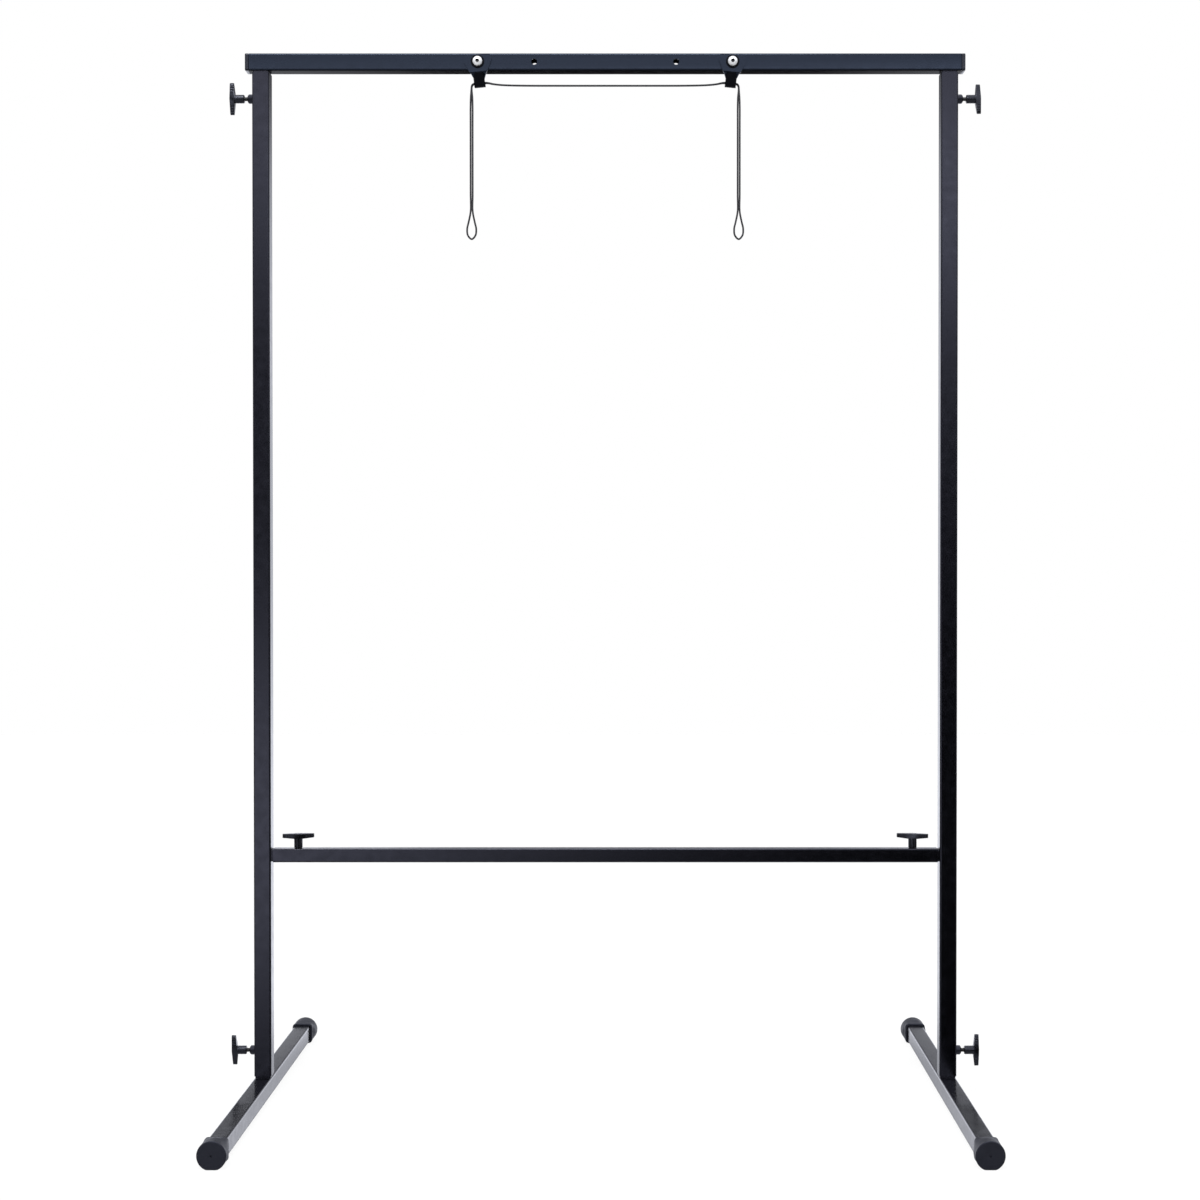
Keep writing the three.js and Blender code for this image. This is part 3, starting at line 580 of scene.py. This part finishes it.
def braided_cord():
    material, tree, shader = new_material("braided_cord")
    height = braid_height(tree)
    fibres = noise(tree, object_place(tree), FIBRE_GRAIN, FIBRE_DETAIL)
    mixed = math_node(tree, "ADD", height, math_node(tree, "MULTIPLY", fibres, FIBRE_SHARE))
    # Darker where the braid is low: painted shade in its grooves and under crossing yarns;
    # fibres add random tone
    colour = colour_between(tree, mixed, CORD_DARK, CORD_LIGHT)
    tree.links.new(colour, shader.inputs["Base Color"])
    shader.inputs["Roughness"].default_value = CORD_ROUGHNESS
    shader.inputs["Sheen Weight"].default_value = CORD_SHEEN
    shader.inputs["Sheen Roughness"].default_value = CORD_SHEEN_ROUGHNESS
    tree.links.new(bump(tree, mixed, BRAID_STRENGTH, BRAID_RELIEF), shader.inputs["Normal"])
    return material


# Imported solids

def smoothing_group():
    """Joins a solid's split corners and shades its gently turning faces as one surface."""
    group = bpy.data.node_groups.new("smooth_rounds", "GeometryNodeTree")
    for way in ("INPUT", "OUTPUT"):
        group.interface.new_socket("Geometry", in_out=way, socket_type="NodeSocketGeometry")
    start = group.nodes.new("NodeGroupInput")
    end = group.nodes.new("NodeGroupOutput")
    drop = group.nodes.new("GeometryNodeRemoveAttribute")
    drop.inputs["Name"].default_value = "custom_normal"
    merge = group.nodes.new("GeometryNodeMergeByDistance")
    merge.inputs["Distance"].default_value = WELD_DISTANCE
    smooth = group.nodes.new("GeometryNodeSetShadeSmooth")
    crease = group.nodes.new("GeometryNodeSetShadeSmooth")
    crease.domain = "EDGE"
    crease.inputs["Shade Smooth"].default_value = False
    angle = group.nodes.new("GeometryNodeInputMeshEdgeAngle")
    steep = group.nodes.new("FunctionNodeCompare")
    steep.operation = "GREATER_THAN"
    steep.inputs["B"].default_value = SMOOTH_ANGLE
    group.links.new(start.outputs[0], drop.inputs["Geometry"])
    group.links.new(drop.outputs["Geometry"], merge.inputs["Geometry"])
    group.links.new(merge.outputs["Geometry"], smooth.inputs["Geometry"])
    group.links.new(smooth.outputs["Geometry"], crease.inputs["Geometry"])
    group.links.new(angle.outputs["Unsigned Angle"], steep.inputs["A"])
    group.links.new(steep.outputs["Result"], crease.inputs["Selection"])
    group.links.new(crease.outputs["Geometry"], end.inputs[0])
    return group


def finish_solids(frame, finishes):
    """Each piece takes the finish that has its own name, or else that of its material slot."""
    slots = {entry["node"]: entry["material_slot"] for entry in frame["record"]["subparts"]}
    group = smoothing_group()
    for node, piece in frame["nodes"].items():
        piece.data.materials.clear()
        piece.data.materials.append(finishes.get(node, finishes[slots[node]]))
        modifier = piece.modifiers.new("smooth_rounds", "NODES")
        modifier.node_group = group
        flats = piece.modifiers.new("keep_flats_flat", "WEIGHTED_NORMAL")
        flats.mode = "FACE_AREA"
        flats.weight = FLAT_FACE_WEIGHT
        flats.keep_sharp = True


def paint_socket_shade(bolt, finish):
    """Paints shade on the walls and floor of a hook bolt's hex socket, with a dark finish of
    their own.
    """
    bolt.data.materials.append(finish)
    points = [vertex.co for vertex in bolt.data.vertices]
    x = (min(point.x for point in points) + max(point.x for point in points)) / 2
    z = BAR_AXIS_HEIGHT * MM
    for face in bolt.data.polygons:
        corners = [points[index] for index in face.vertices]
        reach = max(math.hypot(corner.x - x, corner.z - z) for corner in corners)
        depth = max(corner.y for corner in corners)
        if reach < SOCKET_REACH and depth < SOCKET_FLOOR:
            face.material_index = 1


# Studio

def add_floor():
    """A white floor that takes shadows and lets a foot that is lowered below it be seen."""
    half = FLOOR_SIZE / 2
    corners = [(-half, -half), (half, -half), (half, half), (-half, half)]
    floor = add_object("floor", [(x, y, -FLOOR_DROP) for x, y in corners], [(0, 1, 2, 3)])
    material, tree, shader = new_material("floor")
    shader.inputs["Base Color"].default_value = FLOOR_COLOUR
    shader.inputs["Roughness"].default_value = FLOOR_ROUGHNESS
    shader.inputs["Specular IOR Level"].default_value = 0.0
    glow = add_node(tree, "ShaderNodeEmission")
    glow.inputs["Strength"].default_value = FLOOR_GLOW
    clear = add_node(tree, "ShaderNodeBsdfTransparent")
    white = add_node(tree, "ShaderNodeAddShader")
    tree.links.new(clear.outputs[0], white.inputs[0])
    tree.links.new(glow.outputs[0], white.inputs[1])
    rays = add_node(tree, "ShaderNodeLightPath")
    mix = add_node(tree, "ShaderNodeMixShader")
    share = math_node(tree, "MULTIPLY", rays.outputs["Is Camera Ray"], FLOOR_CLEAR_SHARE)
    tree.links.new(share, mix.inputs["Fac"])
    tree.links.new(shader.outputs[0], mix.inputs[1])
    tree.links.new(white.outputs[0], mix.inputs[2])
    tree.links.new(mix.outputs[0], tree.nodes["Material Output"].inputs["Surface"])
    floor.data.materials.append(material)
    floor.visible_glossy = False


def brightness_curve(tree, value, points):
    """A value looked up on a curve of (place, brightness) points, each place from -1 to 1."""
    node = add_node(tree, "ShaderNodeFloatCurve")
    curve = node.mapping.curves[0]
    node.mapping.use_clip = False
    scaled = [((place + 1) / 2, brightness / BRIGHTEST) for place, brightness in points]
    curve.points[0].location = scaled[0]
    curve.points[-1].location = scaled[-1]
    for place in scaled[1:-1]:
        curve.points.new(*place)
    node.mapping.update()
    tree.links.new(ramp(tree, value, 0, 1, -1, 1), node.inputs["Value"])
    return math_node(tree, "MULTIPLY", node.outputs[0], BRIGHTEST)


def blend(tree, share, first, second):
    """The first value where the share is 1 and the second where it is 0."""
    rest = math_node(tree, "SUBTRACT", 1.0, share)
    kept = math_node(tree, "MULTIPLY", share, first)
    return math_node(tree, "ADD", kept, math_node(tree, "MULTIPLY", rest, second))


def mirrored_room(tree):
    """What glossy surfaces mirror: bright bands in front and a pale wall behind."""
    direction = add_node(tree, "ShaderNodeTexCoord").outputs["Generated"]
    split = add_node(tree, "ShaderNodeSeparateXYZ")
    tree.links.new(direction, split.inputs[0])
    x, y, z = split.outputs
    front_left = brightness_curve(tree, z, ROOM_FRONT_LEFT)
    front_right = brightness_curve(tree, z, ROOM_FRONT_RIGHT)
    leftness = ramp(tree, x, 1.0, 0.0, *LEFT_TO_RIGHT)
    leftness = math_node(tree, "MULTIPLY", leftness, leftness)
    front = blend(tree, leftness, front_left, front_right)
    head_on = ramp(tree, y, 1.0, 0.0, *HEAD_ON_TO_AROUND)
    front = blend(tree, head_on, front, brightness_curve(tree, z, ROOM_AROUND))
    away = ramp(tree, math_node(tree, "ABSOLUTE", x), 0.0, 1.0, *MIDDLE_TO_REAR_SIDES)
    rear_sides = brightness_curve(tree, z, ROOM_REAR_SIDES)
    rear = blend(tree, away, rear_sides, brightness_curve(tree, z, ROOM_REAR_MIDDLE))
    sides = brightness_curve(tree, z, ROOM_SIDES)
    frontness = ramp(tree, y, 1.0, 0.0, *FRONT_TO_SIDES)
    rearness = ramp(tree, y, 0.0, 1.0, *SIDES_TO_REAR)
    return blend(tree, frontness, front, blend(tree, rearness, rear, sides))


def light_world():
    """White to the camera and plain to matt surfaces, while glossy ones mirror a room."""
    world = bpy.data.worlds.new("studio")
    world.use_nodes = True
    bpy.context.scene.world = world
    tree = world.node_tree
    background = tree.nodes["Background"]
    rays = add_node(tree, "ShaderNodeLightPath")
    glossy = rays.outputs["Is Glossy Ray"]
    tint = colour_between(tree, glossy, (1, 1, 1), ROOM_TINT)
    tree.links.new(tint, background.inputs["Color"])
    plain = blend(tree, rays.outputs["Is Camera Ray"], 1.0, PLAIN_LIGHT)
    strength = blend(tree, glossy, mirrored_room(tree), plain)
    tree.links.new(strength, background.inputs["Strength"])


def add_lamp(name, place, target, size, power):
    data = bpy.data.lights.new(name, "AREA")
    data.shape = "RECTANGLE"
    data.size, data.size_y = size
    data.energy = power
    lamp = bpy.data.objects.new(name, data)
    lamp.location = place
    lamp.rotation_euler = (Vector(target) - Vector(place)).to_track_quat("-Z", "Y").to_euler()
    bpy.context.scene.collection.objects.link(lamp)


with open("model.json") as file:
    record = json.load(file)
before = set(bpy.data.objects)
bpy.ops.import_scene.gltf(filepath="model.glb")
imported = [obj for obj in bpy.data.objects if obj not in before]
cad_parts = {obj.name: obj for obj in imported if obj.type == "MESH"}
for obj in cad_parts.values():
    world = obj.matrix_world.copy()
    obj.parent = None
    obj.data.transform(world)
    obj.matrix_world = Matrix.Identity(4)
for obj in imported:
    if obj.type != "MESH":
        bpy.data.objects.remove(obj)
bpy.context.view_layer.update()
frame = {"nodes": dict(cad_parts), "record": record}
place_camera()
cord_finish = braided_cord()
make_cord(cord_finish)

black_steel = plated_steel("blackened_steel", **BLACKENED_STEEL)
bright_steel = plated_steel("zinc_plated_steel", **ZINC_PLATED_STEEL)
top_coat = speckled("top_group_coat", **POWDER_COAT, tint=TOP_TINT)
# Painted shade on the top group's undersides
paint_underside_shade(top_coat)
# Bolt washers and hook sleeves: black parts with painted shade from a darker colour and little
# sheen
washer_plastic_and_painted_shade = speckled("washer_plastic_and_painted_shade", **BLACK_RUBBER_AND_PAINTED_SHADE)
sleeve_rubber_and_painted_shade = speckled("sleeve_rubber_and_painted_shade", **BLACK_RUBBER_AND_PAINTED_SHADE)
finish_solids(frame, {
    "powder_coat": speckled("powder_coat", **POWDER_COAT, tint=FRAME_TINT),
    "top_bar": top_coat,
    "left_hook_bracket": top_coat,
    "right_hook_bracket": top_coat,
    "rubber": speckled("cap_rubber", **CAP_RUBBER),
    "left_hook_sleeve": sleeve_rubber_and_painted_shade,
    "right_hook_sleeve": sleeve_rubber_and_painted_shade,
    "black_plastic": speckled("moulded_plastic", **MOULDED_PLASTIC),
    "left_bolt_washer": washer_plastic_and_painted_shade,
    "right_bolt_washer": washer_plastic_and_painted_shade,
    "black_steel": black_steel,
    "bright_steel": bright_steel,
    "cord": cord_finish,
})
# Painted shade in the hook bolts' hex sockets, built as a dark plated finish
socket_shade_finish = plated_steel("socket_shadow", **SOCKET_SHADOW)
for bolt in ("left_hook_bolt", "right_hook_bolt"):
    paint_socket_shade(frame["nodes"][bolt], socket_shade_finish)
make_screws(black_steel)
add_floor()
light_world()
add_lamp("softbox", LAMP_PLACE, LAMP_TARGET, LAMP_SIZE, LAMP_POWER)

bpy.context.scene.view_settings.view_transform = "Standard"
